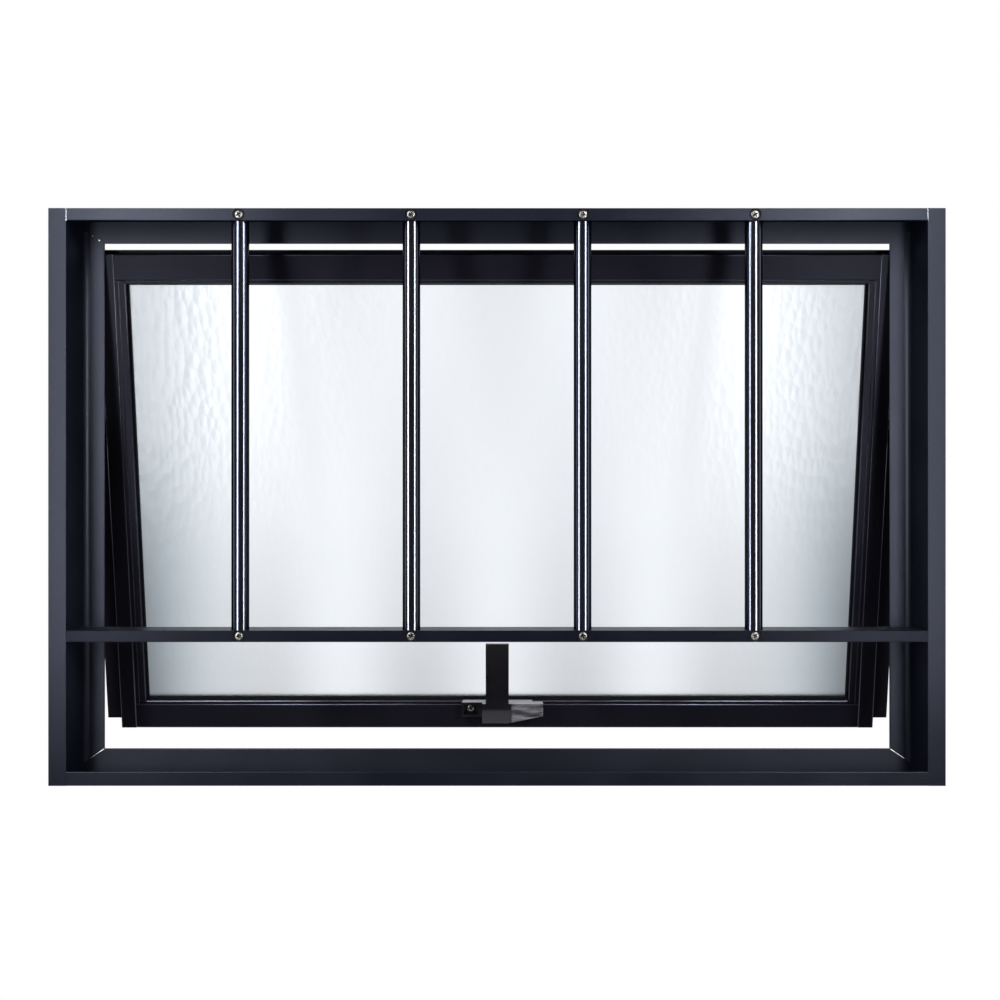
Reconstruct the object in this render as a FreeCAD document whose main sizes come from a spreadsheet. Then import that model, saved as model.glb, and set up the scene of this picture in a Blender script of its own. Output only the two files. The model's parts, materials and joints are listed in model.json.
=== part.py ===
import FreeCAD, Part
import os
import re
import Sketcher

# A top hung awning window, seen from the room along +Y, in millimetres and degrees.
# The origin is the middle of the sill's underside at half the frame's depth.
SIZES = {
    # Frame: two full height hollow jambs, and between them the head and the sill, which are
    # channels with a lip towards the room
    "frame_width": 800.0,
    "frame_height": 515.0,
    "frame_depth": 90.0,
    "jamb_face": 16.0,
    "head_face": 11.0,
    "sill_face": 12.5,
    "frame_wall": 1.5,
    "edge_round": 0.6,
    # Mitred stop frame that the sash closes against, set in from the frame's rear
    "stop_setback": 30.0,
    "stop_thickness": 2.4,
    "stop_leg": 2.0,
    "stop_lip": 0.3,
    "stop_cove": 5.0,
    "stop_reach_jamb": 18.6,
    "stop_reach_head": 10.6,
    "stop_reach_sill": 11.0,
    "stop_nose_round": 0.8,
    # Security grille: round bars behind the head's lip, down to a low crossbar
    "bar_diameter": 15.9,
    "bar_wall": 1.2,
    "bar_pitch": 153.6,
    "bar_setback": 10.0,
    "bar_clearance": 0.1,
    "crossbar_top": 138.4,
    "crossbar_height": 10.3,
    "crossbar_depth": 40.0,
    "crossbar_setback": 0.4,
    "crossbar_wall": 1.5,
    # Sash, drawn upright with its front top edge at its own origin, which lies behind the stop
    # and below the head
    "sash_side_gap": 10.4,
    "sash_height_play": 26.3,
    "sash_tilt": 11.75,
    "sash_top_setback": 0.3,
    "sash_top_drop": 20.3,
    "sash_depth": 29.0,
    "sash_wall": 1.5,
    "sash_round": 1.2,
    "stile_face": 15.3,
    "top_rail_face": 24.2,
    "bottom_rail_face": 24.7,
    "flange_thickness": 2.0,
    "stile_flange": 20.9,
    "top_flange": 3.0,
    "bottom_flange": 7.0,
    "glass_setback": 12.0,
    "glass_thickness": 4.0,
    "glass_edge_gap": 1.5,
    "glass_stop": 2.0,
    # Glazing beads and the rubber between them and the glass
    "side_bead": 9.9,
    "rail_bead": 3.2,
    "bead_setback": 1.0,
    "bead_step_width": 3.4,
    "bead_step": 1.2,
    "bead_chamfer": 1.0,
    "gasket_thickness": 3.0,
    "gasket_lip": 1.4,
    # Cam catch on the bottom rail
    "catch_width": 70.0,
    "catch_height": 15.0,
    "catch_rise": 4.5,
    "catch_block": 8.0,
    "catch_corner": 1.5,
    "catch_screw_spacing": 52.4,
    "catch_recess_width": 14.0,
    "catch_recess_height": 10.4,
    "catch_recess_depth": 4.5,
    "catch_boss_diameter": 13.0,
    "catch_boss": 5.2,
    "catch_pin_diameter": 7.0,
    "catch_pin_length": 5.5,
    "catch_pin_clearance": 0.05,
    "catch_hub_gap": 0.3,
    "catch_pivot_height": 7.0,
    "nose_thickness": 7.5,
    "nose_left": 14.8,
    "nose_right": 44.8,
    "nose_up": 10.0,
    "nose_down": 10.0,
    "nose_tip_down": 2.6,
    "nose_flat": 10.5,
    "nose_rim": 1.5,
    "nose_recess": 1.2,
    "nose_round": 0.6,
    "lever_width": 22.4,
    "lever_reach": 71.6,
    "lever_thickness": 5.0,
    "lever_lean": 4.0,
    "lever_round": 1.0,
    # Friction stays between the stiles and the jambs
    "stay_width": 14.0,
    "stay_arm_width": 12.0,
    "stay_arm_thickness": 2.0,
    "stay_arm_end": 26.0,
    "stay_track_thickness": 2.0,
    "stay_track_end": 14.0,
    "stay_shoe_length": 26.0,
    "stay_top": 12.0,
    "stay_inset": 15.0,
    "stay_arm_span": 130.0,
    "stay_link_span": 90.0,
    "stay_pin_diameter": 5.0,
    "stay_pin_clearance": 0.1,
    "stay_layer_gap": 0.2,
}
# The sash fits the frame, so its outer sizes follow the frame's
FITS = {
    "sash_width": "frame_width - 2 * (jamb_face + sash_side_gap)",
    "sash_height": "frame_height - head_face - sill_face - sash_height_play",
}
BAR_COUNT = 4
SIDES = {"left": -1, "right": 1}
TOUCH = 1e-4

# Places worked out from the sizes, as formulas over the sheet's names
FRONT = "(-frame_depth / 2)"
REAR = "(frame_depth / 2)"
JAMB_INNER = "(frame_width / 2 - jamb_face)"
HEAD_UNDER = "(frame_height - head_face)"
HEAD_SEAT = "(frame_height - frame_wall)"
SILL_SEAT = "frame_wall"
STOP_FRONT = f"({REAR} - stop_setback)"
STOP_BACK = f"({STOP_FRONT} + stop_thickness)"
STOP_TOP = f"({HEAD_UNDER} - stop_reach_head)"
STOP_FOOT = "(sill_face + stop_reach_sill)"
# The stops' mitres run from their inner corners towards the frame's outer corners
MITRE_SHARE = "(stop_reach_jamb / (jamb_face + stop_reach_jamb))"
HEAD_MITRE = f"({STOP_TOP} + {MITRE_SHARE} * (frame_height - {STOP_TOP}))"
SILL_MITRE = f"({STOP_FOOT} - {MITRE_SHARE} * {STOP_FOOT})"
BAR_AXIS = f"({FRONT} + bar_setback)"
CROSSBAR_FRONT = f"({FRONT} + crossbar_setback)"
CROSSBAR_UNDER = "(crossbar_top - crossbar_height)"
SASH_HALF = "(sash_width / 2)"
STILE_INNER = f"({SASH_HALF} - stile_face)"
SIDE_BEAD_INNER = f"({STILE_INNER} - side_bead)"
SIDE_GASKET_INNER = f"({SIDE_BEAD_INNER} - gasket_lip)"
TOP_RAIL_UNDER = "(-top_rail_face)"
BOTTOM_RAIL_TOP = "(bottom_rail_face - sash_height)"
GLASS_REAR = "(glass_setback + glass_thickness)"
BEAD_REAR = "(glass_setback - gasket_thickness)"
SASH_Y = f"({STOP_BACK} + sash_top_setback)"
SASH_Z = f"({HEAD_UNDER} - sash_top_drop)"
CATCH_TOP = f"({BOTTOM_RAIL_TOP} + catch_rise)"
CATCH_PIVOT = f"({CATCH_TOP} - catch_pivot_height)"
NOSE_REAR = "(catch_block + catch_boss + catch_hub_gap)"
SHOE_Y = f"({SASH_Y} + stay_top * sin(sash_tilt) + stay_inset * cos(sash_tilt))"
SHOE_Z = f"({SASH_Z} - stay_top * cos(sash_tilt) + stay_inset * sin(sash_tilt))"
LINK_OUT = "(stay_arm_span * sin(sash_tilt))"
LINK_RISE = f"sqrt(stay_link_span * stay_link_span - {LINK_OUT} * {LINK_OUT})"
FIXED_Z = f"({SHOE_Z} - stay_arm_span * cos(sash_tilt) - {LINK_RISE})"
TRACK_FACE = f"({JAMB_INNER} - stop_leg - stay_track_thickness)"
ARM_FACE = f"({SASH_HALF} + stay_arm_thickness)"
LINK_NEAR = f"({ARM_FACE} + stay_layer_gap)"
LINK_FAR = f"({LINK_NEAR} + stay_arm_thickness)"
SHOE_NEAR = f"({LINK_FAR} + stay_layer_gap)"

doc = FreeCAD.newDocument("awning_window")
sheet = doc.addObject("Spreadsheet::Sheet", "Sizes")
fitted = {alias: f"={formula}" for alias, formula in FITS.items()}
for row, (alias, size) in enumerate((SIZES | fitted).items(), 1):
    sheet.set(f"A{row}", alias)
    sheet.set(f"B{row}", str(size))
    sheet.setAlias(f"B{row}", alias)
doc.recompute()

names_in_sheet = re.compile(r"\b(" + "|".join(SIZES | FITS) + r")\b")
bodies = []


def bound(formula):
    """The formula with each size pointing at its cell."""
    return names_in_sheet.sub(r"Sizes.\g<0>", formula)


def value(formula):
    return float(sheet.evalExpression(bound(formula)))


def mirrored(side, formula):
    return f"({SIDES[side]} * {formula})"


def new_body(label, on_sash=False):
    body = doc.addObject("PartDesign::Body", label)
    body.Label = label
    if on_sash:
        place(body, SASH_Y, SASH_Z, "sash_tilt")
    bodies.append(body)
    return body


def place(body, y, z, angle):
    """Set a body in the frame, turned about the window's width."""
    body.Placement.Rotation = FreeCAD.Rotation(FreeCAD.Vector(1, 0, 0), value(angle))
    body.setExpression("Placement.Base.y", bound(y))
    body.setExpression("Placement.Base.z", bound(z))
    body.setExpression("Placement.Rotation.Angle", bound(angle))


def new_sketch(body, plane, height="0"):
    """A sketch on one of the body's own planes, raised along that plane's normal."""
    sketch = body.newObject("Sketcher::SketchObject", f"{body.Name}_sketch")
    support = [feature for feature in body.Origin.OriginFeatures if feature.Role == plane][0]
    sketch.AttachmentSupport = [(support, "")]
    sketch.MapMode = "FlatFace"
    sketch.setExpression("AttachmentOffset.Base.z", bound(height))
    return sketch


def tie(sketch, kind, geometry, point, formula):
    """Hold one coordinate of a point at a formula's value."""
    rule = Sketcher.Constraint(kind, -1, 1, geometry, point, value(formula))
    sketch.setExpression(f"Constraints[{sketch.addConstraint(rule)}]", bound(formula))


def draw_outline(sketch, corners):
    """A closed outline of straight lines whose corners are pairs of formulas."""
    first = sketch.GeometryCount
    spots = [FreeCAD.Vector(value(across), value(up), 0) for across, up in corners]
    for index, spot in enumerate(spots):
        sketch.addGeometry(Part.LineSegment(spot, spots[(index + 1) % len(spots)]), False)
    for index in range(len(spots)):
        following = first + (index + 1) % len(spots)
        sketch.addConstraint(Sketcher.Constraint("Coincident", first + index, 2, following, 1))
    for index, (across, up) in enumerate(corners):
        tie(sketch, "DistanceX", first + index, 1, across)
        tie(sketch, "DistanceY", first + index, 1, up)


def draw_rectangle(sketch, across, up):
    """A rectangle from two pairs of formulas."""
    (left, right), (low, high) = across, up
    draw_outline(sketch, [(left, low), (right, low), (right, high), (left, high)])


def draw_circle(sketch, across, up, diameter):
    centre = FreeCAD.Vector(value(across), value(up), 0)
    normal = FreeCAD.Vector(0, 0, 1)
    radius = value(diameter) / 2
    circle = sketch.addGeometry(Part.Circle(centre, normal, radius), False)
    tie(sketch, "DistanceX", circle, 3, across)
    tie(sketch, "DistanceY", circle, 3, up)
    rule = sketch.addConstraint(Sketcher.Constraint("Diameter", circle, 2 * radius))
    sketch.setExpression(f"Constraints[{rule}]", bound(diameter))


def extrude(body, sketch, length, backwards=False):
    pad = body.newObject("PartDesign::Pad", f"{body.Name}_pad")
    pad.Profile = sketch
    pad.Reversed = backwards
    pad.setExpression("Length", bound(length))
    doc.recompute()
    return pad


def cut(body, sketch, length, backwards=False, both_ways=False):
    """Cut a sketch out of the body, and stop if nothing came away."""
    before = body.Shape.Volume
    pocket = body.newObject("PartDesign::Pocket", f"{body.Name}_pocket")
    pocket.Profile = sketch
    pocket.Reversed = backwards
    if both_ways:
        pocket.SideType = "Symmetric"
    pocket.setExpression("Length", bound(length))
    doc.recompute()
    if body.Shape.Volume >= before:
        raise RuntimeError(f"{body.Label}: a cut took nothing away")
    return pocket


def round_edges(body, feature, axis, spots, radius):
    """Round the edges along one axis that pass through the given points of the section."""
    others = [index for index in range(3) if index != axis]
    wanted = [(value(first), value(second)) for first, second in spots]
    edges = []
    for number, edge in enumerate(feature.Shape.Edges, 1):
        ends = [[vertex.Point[index] for index in others] for vertex in edge.Vertexes]
        for spot in wanted:
            gaps = [abs(end[0] - spot[0]) + abs(end[1] - spot[1]) for end in ends]
            if len(gaps) == 2 and max(gaps) < TOUCH:
                edges.append(f"Edge{number}")
    fillet = body.newObject("PartDesign::Fillet", f"{body.Name}_round")
    fillet.Base = (feature, edges)
    fillet.setExpression("Radius", bound(radius))
    doc.recompute()
    return fillet


def bar_place(index):
    return f"({index - (BAR_COUNT - 1) / 2} * bar_pitch)"


def make_jamb(side):
    body = new_body(f"{side}_jamb")
    sketch = new_sketch(body, "XY_Plane")
    outer = mirrored(side, "(frame_width / 2)")
    inner = mirrored(side, JAMB_INNER)
    draw_rectangle(sketch, (outer, inner), (FRONT, REAR))
    wall = mirrored(side, "frame_wall")
    hollow = (f"{outer} - {wall}", f"{inner} + {wall}")
    draw_rectangle(sketch, hollow, (f"{FRONT} + frame_wall", "-frame_wall / 2"))
    draw_rectangle(sketch, hollow, ("frame_wall / 2", f"{REAR} - frame_wall"))
    pad = extrude(body, sketch, "frame_height")
    round_edges(body, pad, 2, [(outer, FRONT), (inner, FRONT), (outer, REAR)], "edge_round")


def make_channel(label, outer, seat, lip):
    """The head or the sill: a wall as deep as the frame, with a lip towards the room."""
    body = new_body(label)
    sketch = new_sketch(body, "YZ_Plane", f"-{JAMB_INNER}")
    lip_back = f"{FRONT} + frame_wall"
    draw_outline(sketch, [(FRONT, outer), (FRONT, lip), (lip_back, lip), (lip_back, seat),
                          (REAR, seat), (REAR, outer)])
    pad = extrude(body, sketch, f"2 * {JAMB_INNER}")
    round_edges(body, pad, 0, [(FRONT, outer), (FRONT, lip)], "edge_round")


def make_side_stop(side):
    """The stop on a jamb, whose face meets the jamb in a cove."""
    body = new_body(f"{side}_stop")
    outer = mirrored(side, JAMB_INNER)
    inner = mirrored(side, f"({JAMB_INNER} - stop_reach_jamb)")
    leg = mirrored(side, f"({JAMB_INNER} - stop_leg)")
    lip = mirrored(side, f"({JAMB_INNER} - stop_lip)")
    cove_front = f"{STOP_FRONT} - stop_cove - stop_lip"
    nose = [(inner, STOP_FRONT), (inner, STOP_BACK)]
    sketch = new_sketch(body, "XY_Plane", SILL_SEAT)
    draw_outline(sketch, nose + [(leg, STOP_BACK), (leg, REAR), (outer, REAR), (outer, cove_front),
                                 (lip, cove_front), (lip, STOP_FRONT)])
    pad = extrude(body, sketch, f"{HEAD_SEAT} - {SILL_SEAT}")
    cove = round_edges(body, pad, 2, [(lip, STOP_FRONT)], "stop_cove")
    round_edges(body, cove, 2, nose, "stop_nose_round")
    mitre = new_sketch(body, "XZ_Plane")
    for seat, edge, corner in ((HEAD_SEAT, STOP_TOP, HEAD_MITRE), (SILL_SEAT, STOP_FOOT, SILL_MITRE)):
        draw_outline(mitre, [(outer, corner), (inner, edge), (inner, seat), (outer, seat)])
    cut(body, mitre, "2 * frame_depth", both_ways=True)


def make_level_stop(label, seat, leg, edge, corner):
    """The flat stop under the head or on the sill, mitred to meet the side stops."""
    body = new_body(label)
    sketch = new_sketch(body, "YZ_Plane", f"-{JAMB_INNER}")
    nose = [(STOP_FRONT, edge), (STOP_BACK, edge)]
    draw_outline(sketch, nose + [(STOP_BACK, leg), (REAR, leg), (REAR, seat), (STOP_FRONT, seat)])
    pad = extrude(body, sketch, f"2 * {JAMB_INNER}")
    round_edges(body, pad, 0, nose, "stop_nose_round")
    mitre = new_sketch(body, "XZ_Plane")
    for side in SIDES:
        outer = mirrored(side, JAMB_INNER)
        inner = mirrored(side, f"({JAMB_INNER} - stop_reach_jamb)")
        draw_outline(mitre, [(outer, edge), (outer, corner), (inner, edge)])
    cut(body, mitre, "2 * frame_depth", both_ways=True)


def make_crossbar():
    """A flat tube between the jambs, with a hole in its top for each bar."""
    body = new_body("grille_crossbar")
    sketch = new_sketch(body, "YZ_Plane", f"-{JAMB_INNER}")
    rear = f"({CROSSBAR_FRONT} + crossbar_depth)"
    draw_rectangle(sketch, (CROSSBAR_FRONT, rear), (CROSSBAR_UNDER, "crossbar_top"))
    draw_rectangle(sketch, (f"{CROSSBAR_FRONT} + crossbar_wall", f"{rear} - crossbar_wall"),
                   (f"{CROSSBAR_UNDER} + crossbar_wall", "crossbar_top - crossbar_wall"))
    pad = extrude(body, sketch, f"2 * {JAMB_INNER}")
    corners = [(CROSSBAR_FRONT, CROSSBAR_UNDER), (CROSSBAR_FRONT, "crossbar_top"),
               (rear, CROSSBAR_UNDER), (rear, "crossbar_top")]
    round_edges(body, pad, 0, corners, "edge_round")
    holes = new_sketch(body, "XY_Plane", "crossbar_top - crossbar_height / 2")
    for index in range(BAR_COUNT):
        draw_circle(holes, bar_place(index), BAR_AXIS, "bar_diameter + 2 * bar_clearance")
    cut(body, holes, "crossbar_height", backwards=True)


def make_bar(index):
    body = new_body(f"grille_bar_{index + 1}")
    foot = f"({CROSSBAR_UNDER} + crossbar_wall)"
    sketch = new_sketch(body, "XY_Plane", foot)
    draw_circle(sketch, bar_place(index), BAR_AXIS, "bar_diameter")
    draw_circle(sketch, bar_place(index), BAR_AXIS, "bar_diameter - 2 * bar_wall")
    extrude(body, sketch, f"{HEAD_SEAT} - {foot}")


def make_stile(side):
    body = new_body(f"{side}_stile", on_sash=True)
    sketch = new_sketch(body, "XY_Plane", "-sash_height")
    outer = mirrored(side, SASH_HALF)
    inner = mirrored(side, STILE_INNER)
    stop = mirrored(side, SIDE_BEAD_INNER)
    flange = mirrored(side, f"({SASH_HALF} + stile_flange)")
    rear = "sash_depth + flange_thickness"
    draw_outline(sketch, [
        (outer, "0"),
        (inner, "0"),
        (inner, GLASS_REAR),
        (stop, GLASS_REAR),
        (stop, f"{GLASS_REAR} + glass_stop"),
        (inner, f"{GLASS_REAR} + glass_stop"),
        (inner, rear),
        (flange, rear),
        (flange, "sash_depth"),
        (outer, "sash_depth"),
    ])
    wall = mirrored(side, "sash_wall")
    draw_rectangle(sketch, (f"{outer} - {wall}", f"{inner} + {wall}"),
                   ("sash_wall", f"{rear} - sash_wall"))
    pad = extrude(body, sketch, "sash_height + top_flange")
    round_edges(body, pad, 2, [(outer, "0"), (inner, "0")], "sash_round")
    notch = new_sketch(body, "XZ_Plane")
    draw_rectangle(notch, (inner, stop), (f"{TOP_RAIL_UNDER} - rail_bead", "top_flange"))
    draw_rectangle(notch, (inner, stop), ("-sash_height", f"{BOTTOM_RAIL_TOP} + rail_bead"))
    cut(body, notch, "4 * sash_depth", both_ways=True)
    # Only the flange at the back goes on above the stile's front
    above = new_sketch(body, "XZ_Plane")
    draw_rectangle(above, (outer, inner), ("0", "top_flange"))
    cut(body, above, "sash_depth")


def make_rail(label, edge, inner_face, way, flange_drop):
    """A sash rail between the stiles; way is the sign of the step from its edge to the glass."""
    body = new_body(label, on_sash=True)
    sketch = new_sketch(body, "YZ_Plane", f"-{STILE_INNER}")
    rear = "sash_depth + flange_thickness"
    stop = f"{inner_face} + {way} * rail_bead"
    flange = f"{edge} - {way} * {flange_drop}"
    draw_outline(sketch, [
        ("0", edge),
        ("0", inner_face),
        (GLASS_REAR, inner_face),
        (GLASS_REAR, stop),
        (f"{GLASS_REAR} + glass_stop", stop),
        (f"{GLASS_REAR} + glass_stop", inner_face),
        (rear, inner_face),
        (rear, flange),
        ("sash_depth", flange),
        ("sash_depth", edge),
    ])
    draw_rectangle(sketch, ("sash_wall", f"{rear} - sash_wall"),
                   (f"{edge} + {way} * sash_wall", f"{inner_face} - {way} * sash_wall"))
    pad = extrude(body, sketch, f"2 * {STILE_INNER}")
    round_edges(body, pad, 0, [("0", edge), ("0", inner_face)], "sash_round")


def make_side_bead(side):
    body = new_body(f"{side}_bead", on_sash=True)
    sketch = new_sketch(body, "XY_Plane", BOTTOM_RAIL_TOP)
    seat = mirrored(side, STILE_INNER)
    step = mirrored(side, f"({STILE_INNER} - bead_step_width)")
    chamfer = mirrored(side, f"({SIDE_BEAD_INNER} + bead_chamfer)")
    edge = mirrored(side, SIDE_BEAD_INNER)
    draw_outline(sketch, [
        (seat, "bead_setback"),
        (step, "bead_setback"),
        (step, "bead_setback + bead_step"),
        (chamfer, "bead_setback + bead_step"),
        (edge, "bead_setback + bead_step + bead_chamfer"),
        (edge, BEAD_REAR),
        (seat, BEAD_REAR),
    ])
    extrude(body, sketch, f"{TOP_RAIL_UNDER} - {BOTTOM_RAIL_TOP}")


def make_rail_bead(label, inner_face, way):
    body = new_body(label, on_sash=True)
    sketch = new_sketch(body, "YZ_Plane", f"-{SIDE_BEAD_INNER}")
    edge = f"{inner_face} + {way} * rail_bead"
    draw_outline(sketch, [
        ("bead_setback", inner_face),
        ("bead_setback", f"{edge} - {way} * bead_chamfer"),
        ("bead_setback + bead_chamfer", edge),
        (BEAD_REAR, edge),
        (BEAD_REAR, inner_face),
    ])
    extrude(body, sketch, f"2 * {SIDE_BEAD_INNER}")


def make_side_gasket(side):
    body = new_body(f"{side}_gasket", on_sash=True)
    sketch = new_sketch(body, "XY_Plane", BOTTOM_RAIL_TOP)
    across = (mirrored(side, STILE_INNER), mirrored(side, SIDE_GASKET_INNER))
    draw_rectangle(sketch, across, (BEAD_REAR, "glass_setback"))
    extrude(body, sketch, f"{TOP_RAIL_UNDER} - {BOTTOM_RAIL_TOP}")


def make_rail_gasket(label, inner_face, way):
    body = new_body(label, on_sash=True)
    sketch = new_sketch(body, "YZ_Plane", f"-{SIDE_GASKET_INNER}")
    edge = f"{inner_face} + {way} * (rail_bead + gasket_lip)"
    draw_rectangle(sketch, (BEAD_REAR, "glass_setback"), (inner_face, edge))
    extrude(body, sketch, f"2 * {SIDE_GASKET_INNER}")


def make_glass():
    body = new_body("glass_pane", on_sash=True)
    sketch = new_sketch(body, "XZ_Plane", f"-{GLASS_REAR}")
    half = f"({STILE_INNER} - glass_edge_gap)"
    draw_rectangle(sketch, (f"-{half}", half),
                   (f"{BOTTOM_RAIL_TOP} + glass_edge_gap", f"{TOP_RAIL_UNDER} - glass_edge_gap"))
    extrude(body, sketch, "glass_thickness")


def make_catch_base():
    """The block on the bottom rail, with a screw pocket at each end and the pivot between them."""
    body = new_body("catch_base", on_sash=True)
    block = new_sketch(body, "XZ_Plane")
    low = f"{CATCH_TOP} - catch_height"
    half = "(catch_width / 2)"
    draw_rectangle(block, (f"-{half}", half), (low, CATCH_TOP))
    pad = extrude(body, block, "catch_block")
    corners = [(f"-{half}", low), (half, low), (f"-{half}", CATCH_TOP), (half, CATCH_TOP)]
    round_edges(body, pad, 1, corners, "catch_corner")
    pockets = new_sketch(body, "XZ_Plane", "catch_block")
    floor = f"{low} + (catch_height - catch_recess_height) / 2"
    for way in SIDES.values():
        middle = f"{way} * catch_screw_spacing / 2"
        across = (f"{middle} - catch_recess_width / 2", f"{middle} + catch_recess_width / 2")
        draw_rectangle(pockets, across, (floor, f"{floor} + catch_recess_height"))
    cut(body, pockets, "catch_recess_depth")
    boss = new_sketch(body, "XZ_Plane", "catch_block")
    draw_circle(boss, "0", CATCH_PIVOT, "catch_boss_diameter")
    extrude(body, boss, "catch_boss")
    pin = new_sketch(body, "XZ_Plane", "catch_block + catch_boss")
    draw_circle(pin, "0", CATCH_PIVOT, "catch_pin_diameter")
    extrude(body, pin, "catch_hub_gap + catch_pin_length")


def make_catch_lever():
    """The handle in one casting: a recessed cam nose that points right and a lever that rises."""
    body = new_body("catch_lever", on_sash=True)
    block = new_sketch(body, "XZ_Plane", NOSE_REAR)
    corners = [
        ("-nose_left", f"{CATCH_PIVOT} + nose_up"),
        ("-nose_left", f"{CATCH_PIVOT} - nose_down"),
        ("nose_flat", f"{CATCH_PIVOT} - nose_down"),
        ("nose_right", f"{CATCH_PIVOT} - nose_tip_down"),
        ("nose_right", f"{CATCH_PIVOT} + nose_up"),
    ]
    draw_outline(block, corners)
    pad = extrude(body, block, "nose_thickness")
    round_edges(body, pad, 1, corners, "nose_round")
    recess = new_sketch(body, "XZ_Plane", f"{NOSE_REAR} + nose_thickness")
    draw_outline(recess, [
        ("lever_width / 2 + nose_rim", f"{CATCH_PIVOT} + nose_up - nose_rim"),
        ("lever_width / 2 + nose_rim", f"{CATCH_PIVOT} - nose_down + 2 * nose_rim"),
        ("nose_right - nose_rim", f"{CATCH_PIVOT} - nose_tip_down + nose_rim"),
        ("nose_right - nose_rim", f"{CATCH_PIVOT} + nose_up - nose_rim"),
    ])
    cut(body, recess, "nose_recess")
    lever = new_sketch(body, "YZ_Plane", "-lever_width / 2")
    face = f"-({NOSE_REAR} + nose_thickness)"
    top = f"{CATCH_PIVOT} + lever_reach"
    shoulder = f"{CATCH_PIVOT} + nose_up"
    draw_outline(lever, [
        (face, CATCH_PIVOT),
        (f"{face} + lever_thickness", CATCH_PIVOT),
        (f"{face} + lever_thickness", shoulder),
        (f"{face} - lever_lean + lever_thickness", top),
        (f"{face} - lever_lean", top),
        (face, shoulder),
    ])
    arm = extrude(body, lever, "lever_width")
    tips = [(f"{face} - lever_lean", top), (f"{face} - lever_lean + lever_thickness", top)]
    round_edges(body, arm, 0, tips, "lever_round")
    bore = new_sketch(body, "XZ_Plane", NOSE_REAR)
    draw_circle(bore, "0", CATCH_PIVOT, "catch_pin_diameter + 2 * catch_pin_clearance")
    cut(body, bore, "catch_pin_length + catch_hub_gap", backwards=True)


def draw_stay_bar(body, side, near, thickness, low, high, centre):
    """A flat bar of a stay, standing on a plane across the window's width."""
    height = near if side == "right" else f"-({near} + {thickness})"
    sketch = new_sketch(body, "YZ_Plane", height)
    half = "stay_arm_width / 2"
    draw_rectangle(sketch, (f"{centre} - {half}", f"{centre} + {half}"), (low, high))
    return extrude(body, sketch, thickness)


def add_pin(body, side, near, length, across, up, diameter):
    height = near if side == "right" else f"-({near} + {length})"
    sketch = new_sketch(body, "YZ_Plane", height)
    draw_circle(sketch, across, up, diameter)
    return sketch, extrude(body, sketch, length)


def make_stay(side):
    """Track on the jamb, shoe in the track, arm on the stile and a link that props the arm."""
    hole = "stay_pin_diameter + 2 * stay_pin_clearance"
    track = new_body(f"{side}_stay_track")
    faces = (mirrored(side, TRACK_FACE), mirrored(side, f"({TRACK_FACE} + stay_track_thickness)"))
    strip = new_sketch(track, "XY_Plane", f"{FIXED_Z} - stay_track_end")
    draw_rectangle(strip, faces, (f"{SHOE_Y} - stay_width / 2", f"{SHOE_Y} + stay_width / 2"))
    extrude(track, strip, f"{SHOE_Z} - {FIXED_Z} + 2 * stay_track_end")
    add_pin(track, side, LINK_NEAR, f"({TRACK_FACE} - {LINK_NEAR})", SHOE_Y, FIXED_Z, "stay_pin_diameter")

    shoe = new_body(f"{side}_stay_shoe")
    seats = (mirrored(side, SHOE_NEAR), mirrored(side, TRACK_FACE))
    block = new_sketch(shoe, "XY_Plane", f"{SHOE_Z} - stay_shoe_length / 2")
    half = "stay_arm_width / 2"
    draw_rectangle(block, seats, (f"{SHOE_Y} - {half}", f"{SHOE_Y} + {half}"))
    extrude(shoe, block, "stay_shoe_length")
    add_pin(shoe, side, SASH_HALF, f"({SHOE_NEAR} - {SASH_HALF})", SHOE_Y, SHOE_Z, "stay_pin_diameter")

    arm = new_body(f"{side}_stay_arm", on_sash=True)
    joint = "-(stay_top + stay_arm_span)"
    draw_stay_bar(arm, side, SASH_HALF, "stay_arm_thickness", f"{joint} - stay_arm_end",
                  f"-stay_top + {half}", "stay_inset")
    pivot = new_sketch(arm, "YZ_Plane", mirrored(side, SASH_HALF))
    draw_circle(pivot, "stay_inset", "-stay_top", hole)
    cut(arm, pivot, "4 * stay_arm_thickness", both_ways=True)
    add_pin(arm, side, ARM_FACE, f"({LINK_FAR} - {ARM_FACE})", "stay_inset", joint, "stay_pin_diameter")

    link = new_body(f"{side}_stay_link")
    place(link, SHOE_Y, FIXED_Z, f"-asin({LINK_OUT} / stay_link_span)")
    draw_stay_bar(link, side, LINK_NEAR, "stay_arm_thickness", "0", "stay_link_span", "0")
    for end in ("0", "stay_link_span"):
        add_pin(link, side, LINK_NEAR, "stay_arm_thickness", "0", end, "stay_arm_width")
    pivots = new_sketch(link, "YZ_Plane", mirrored(side, LINK_NEAR))
    for end in ("0", "stay_link_span"):
        draw_circle(pivots, "0", end, hole)
    cut(link, pivots, "4 * stay_arm_thickness", both_ways=True)


for side in SIDES:
    make_jamb(side)
make_channel("head", "frame_height", HEAD_SEAT, HEAD_UNDER)
make_channel("sill", "0", SILL_SEAT, "sill_face")
for side in SIDES:
    make_side_stop(side)
make_level_stop("head_stop", HEAD_SEAT, f"{HEAD_SEAT} - stop_leg", STOP_TOP, HEAD_MITRE)
make_level_stop("sill_stop", SILL_SEAT, f"{SILL_SEAT} + stop_leg", STOP_FOOT, SILL_MITRE)
make_crossbar()
for index in range(BAR_COUNT):
    make_bar(index)
for side in SIDES:
    make_stile(side)
make_rail("top_rail", "0", TOP_RAIL_UNDER, "-1", "top_flange")
make_rail("bottom_rail", "-sash_height", BOTTOM_RAIL_TOP, "1", "bottom_flange")
for side in SIDES:
    make_side_bead(side)
    make_side_gasket(side)
make_rail_bead("top_bead", TOP_RAIL_UNDER, "-1")
make_rail_bead("bottom_bead", BOTTOM_RAIL_TOP, "1")
make_rail_gasket("top_gasket", TOP_RAIL_UNDER, "-1")
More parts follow.
